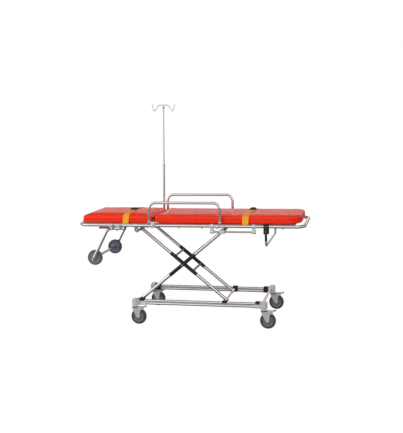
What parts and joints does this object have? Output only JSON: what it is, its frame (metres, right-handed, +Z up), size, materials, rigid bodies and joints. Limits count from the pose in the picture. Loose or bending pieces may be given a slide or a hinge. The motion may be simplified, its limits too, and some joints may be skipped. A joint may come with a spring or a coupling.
{
  "type": "stretcher trolley",
  "caption": "Wheeled ambulance stretcher with a padded folding bed, side guards and drip pole on a scissor undercarriage with swivel castors and loading wheels.",
  "frame": {"origin": "on the floor under the middle of the bed, with the castors standing on it", "axes": "+X towards the foot end, -Y the side with the leg release lever, +Z up"},
  "size_m": [1.8753, 0.611, 1.7827],
  "materials": {
    "polished_tube": "polished tube",
    "brown_shaft": "satin brown",
    "cast_alloy": "satin casting",
    "panel_alloy": "rolled sheet",
    "black_plastic": "matte",
    "red_lever": "gloss",
    "red_vinyl": "glossy coated fabric",
    "yellow_webbing": "woven webbing",
    "grey_tyre": "matte rubber on a grey rim",
    "castor_steel": "zinc plated"
  },
  "bodies": {
    "base": {"base_rails": "polished_tube", "corner_sockets": "cast_alloy", "rail_blocks": "black_plastic", "base_shaft": "polished_tube"},
    "outer_leg_pair": {"outer_legs": "polished_tube", "outer_sleeves": "black_plastic", "scissor_bolts": "polished_tube"},
    "inner_leg_pair": {"inner_legs": "polished_tube", "inner_sleeves": "black_plastic", "inner_spacers": "polished_tube"},
    "base_slider": {"slider_blocks": "black_plastic", "slider_shaft": "polished_tube"},
    "bed_carriage": {"carriage_blocks": "polished_tube", "carriage_shaft": "brown_shaft"},
    "bed": {"side_rails": "polished_tube", "end_bows": "polished_tube", "bed_cross_tubes": "polished_tube", "deck_panel": "panel_alloy", "slide_bars": "polished_tube", "slide_bar_clamps": "cast_alloy", "leg_brackets": "polished_tube", "bracket_shaft": "brown_shaft", "load_legs": "polished_tube", "rail_fittings": "black_plastic", "rail_bolts": "polished_tube", "rail_sockets": "cast_alloy", "iv_pole_lower": "polished_tube", "mattress_main": "red_vinyl", "mattress_fold": "red_vinyl", "foot_strap": "yellow_webbing", "foot_buckle": "black_plastic"},
    "backrest": {"backrest_frame": "polished_tube", "backrest_panel": "panel_alloy", "mattress_head": "red_vinyl", "head_strap": "yellow_webbing", "head_buckle": "black_plastic"},
    "guard_left": {"guard_near": "polished_tube"},
    "guard_right": {"guard_far": "polished_tube"},
    "guard_pin_left": {"guard_pin_near": "cast_alloy"},
    "guard_pin_right": {"guard_pin_far": "cast_alloy"},
    "release_handle": {"release_bar": "polished_tube", "release_grips": "black_plastic"},
    "leg_lever": {"leg_lever": "red_lever"},
    "drip_pole": {"iv_pole_upper": "polished_tube", "iv_hooks": "polished_tube"},
    "load_wheel_left": {"load_wheel_near": "grey_tyre"},
    "load_wheel_right": {"load_wheel_far": "grey_tyre"},
    "castor_head_left": {"castor_fork_hn": "castor_steel"},
    "castor_wheel_head_left": {"castor_wheel_hn": "grey_tyre"},
    "castor_pedal_head_left": {"castor_pedal_hn": "castor_steel"},
    "castor_head_right": {"castor_fork_hf": "castor_steel"},
    "castor_wheel_head_right": {"castor_wheel_hf": "grey_tyre"},
    "castor_pedal_head_right": {"castor_pedal_hf": "castor_steel"},
    "castor_foot_left": {"castor_fork_fn": "castor_steel"},
    "castor_wheel_foot_left": {"castor_wheel_fn": "grey_tyre"},
    "castor_pedal_foot_left": {"castor_pedal_fn": "castor_steel"},
    "castor_foot_right": {"castor_fork_ff": "castor_steel"},
    "castor_wheel_foot_right": {"castor_wheel_ff": "grey_tyre"},
    "castor_pedal_foot_right": {"castor_pedal_ff": "castor_steel"}
  },
  "joints": [
    {"name": "lift", "type": "hinge", "parent": "base", "child": "outer_leg_pair", "pos_m": [-0.405, 0, 0.182], "axis": [0, 1, 0], "range_deg": [0, 31]},
    {"name": "scissor_centre", "type": "hinge", "parent": "outer_leg_pair", "child": "inner_leg_pair", "pos_m": [-0.057, 0, 0.467], "axis": [0, 1, 0], "range_deg": [-62, 0]},
    {"name": "bed_pivot", "type": "hinge", "parent": "inner_leg_pair", "child": "bed", "pos_m": [-0.405, 0, 0.752], "axis": [0, 1, 0], "range_deg": [0, 31]},
    {"name": "base_slider_pivot", "type": "hinge", "parent": "inner_leg_pair", "child": "base_slider", "pos_m": [0.291, 0, 0.182], "axis": [0, 1, 0], "range_deg": [0, 31]},
    {"name": "carriage_pivot", "type": "hinge", "parent": "outer_leg_pair", "child": "bed_carriage", "pos_m": [0.291, 0, 0.752], "axis": [0, 1, 0], "range_deg": [-31, 0]},
    {"name": "backrest_tilt", "type": "hinge", "parent": "bed", "child": "backrest", "pos_m": [-0.279, 0, 0.794], "axis": [0, 1, 0], "range_deg": [0, 70], "deforming": ["mattress_fold"]},
    {"name": "guard_left_fold", "type": "hinge", "parent": "bed", "child": "guard_left", "pos_m": [0, -0.286, 0.8], "axis": [1, 0, 0], "range_deg": [0, 150]},
    {"name": "guard_right_fold", "type": "hinge", "parent": "bed", "child": "guard_right", "pos_m": [0, 0.286, 0.8], "axis": [-1, 0, 0], "range_deg": [0, 150]},
    {"name": "guard_left_pin", "type": "slide", "parent": "bed", "child": "guard_pin_left", "axis": [1, 0, 0], "range_m": [0, 0.012], "stiffness_N_per_m": 400, "springref_m": -0.004},
    {"name": "guard_right_pin", "type": "slide", "parent": "bed", "child": "guard_pin_right", "axis": [1, 0, 0], "range_m": [0, 0.012], "stiffness_N_per_m": 400, "springref_m": -0.004},
    {"name": "release_swing", "type": "hinge", "parent": "bed", "child": "release_handle", "pos_m": [0.643, 0, 0.762], "axis": [0, 1, 0], "range_deg": [-40, 20]},
    {"name": "lever_turn", "type": "hinge", "parent": "bed", "child": "leg_lever", "pos_m": [-0.64, -0.279, 0.776], "axis": [0, 1, 0], "range_deg": [-25, 0]},
    {"name": "pole_slide", "type": "slide", "parent": "bed", "child": "drip_pole", "axis": [0.0157, 0, 0.9999], "range_m": [-0.35, 0]},
    {"name": "load_wheel_left_spin", "type": "hinge", "parent": "bed", "child": "load_wheel_left", "pos_m": [-0.781, -0.229, 0.524], "axis": [0, 1, 0], "continuous": true},
    {"name": "load_wheel_right_spin", "type": "hinge", "parent": "bed", "child": "load_wheel_right", "pos_m": [-0.781, 0.229, 0.524], "axis": [0, 1, 0], "continuous": true},
    {"name": "head_left_swivel", "type": "hinge", "parent": "base", "child": "castor_head_left", "pos_m": [-0.436, -0.269, 0.16], "axis": [0, 0, 1], "continuous": true},
    {"name": "head_left_roll", "type": "hinge", "parent": "castor_head_left", "child": "castor_wheel_head_left", "pos_m": [-0.405, -0.269, 0.0625], "axis": [0, 1, 0], "continuous": true},
    {"name": "head_left_brake", "type": "hinge", "parent": "castor_head_left", "child": "castor_pedal_head_left", "pos_m": [-0.406, -0.269, 0.136], "axis": [0, 1, 0], "range_deg": [0, 7]},
    {"name": "head_right_swivel", "type": "hinge", "parent": "base", "child": "castor_head_right", "pos_m": [-0.436, 0.269, 0.16], "axis": [0, 0, 1], "continuous": true},
    {"name": "head_right_roll", "type": "hinge", "parent": "castor_head_right", "child": "castor_wheel_head_right", "pos_m": [-0.405, 0.269, 0.0625], "axis": [0, 1, 0], "continuous": true},
    {"name": "head_right_brake", "type": "hinge", "parent": "castor_head_right", "child": "castor_pedal_head_right", "pos_m": [-0.406, 0.269, 0.136], "axis": [0, 1, 0], "range_deg": [0, 7]},
    {"name": "foot_left_swivel", "type": "hinge", "parent": "base", "child": "castor_foot_left", "pos_m": [0.613, -0.269, 0.16], "axis": [0, 0, 1], "continuous": true},
    {"name": "foot_left_roll", "type": "hinge", "parent": "castor_foot_left", "child": "castor_wheel_foot_left", "pos_m": [0.644, -0.269, 0.0625], "axis": [0, 1, 0], "continuous": true},
    {"name": "foot_left_brake", "type": "hinge", "parent": "castor_foot_left", "child": "castor_pedal_foot_left", "pos_m": [0.643, -0.269, 0.136], "axis": [0, 1, 0], "range_deg": [0, 7]},
    {"name": "foot_right_swivel", "type": "hinge", "parent": "base", "child": "castor_foot_right", "pos_m": [0.613, 0.269, 0.16], "axis": [0, 0, 1], "continuous": true},
    {"name": "foot_right_roll", "type": "hinge", "parent": "castor_foot_right", "child": "castor_wheel_foot_right", "pos_m": [0.644, 0.269, 0.0625], "axis": [0, 1, 0], "continuous": true},
    {"name": "foot_right_brake", "type": "hinge", "parent": "castor_foot_right", "child": "castor_pedal_foot_right", "pos_m": [0.643, 0.269, 0.136], "axis": [0, 1, 0], "range_deg": [0, 7]}
  ],
  "couplings": [
    {"joint": "scissor_centre", "follows": "lift", "ratio": -2},
    {"joint": "bed_pivot", "follows": "lift", "ratio": 1},
    {"joint": "base_slider_pivot", "follows": "lift", "ratio": 1},
    {"joint": "carriage_pivot", "follows": "lift", "ratio": -1}
  ]
}
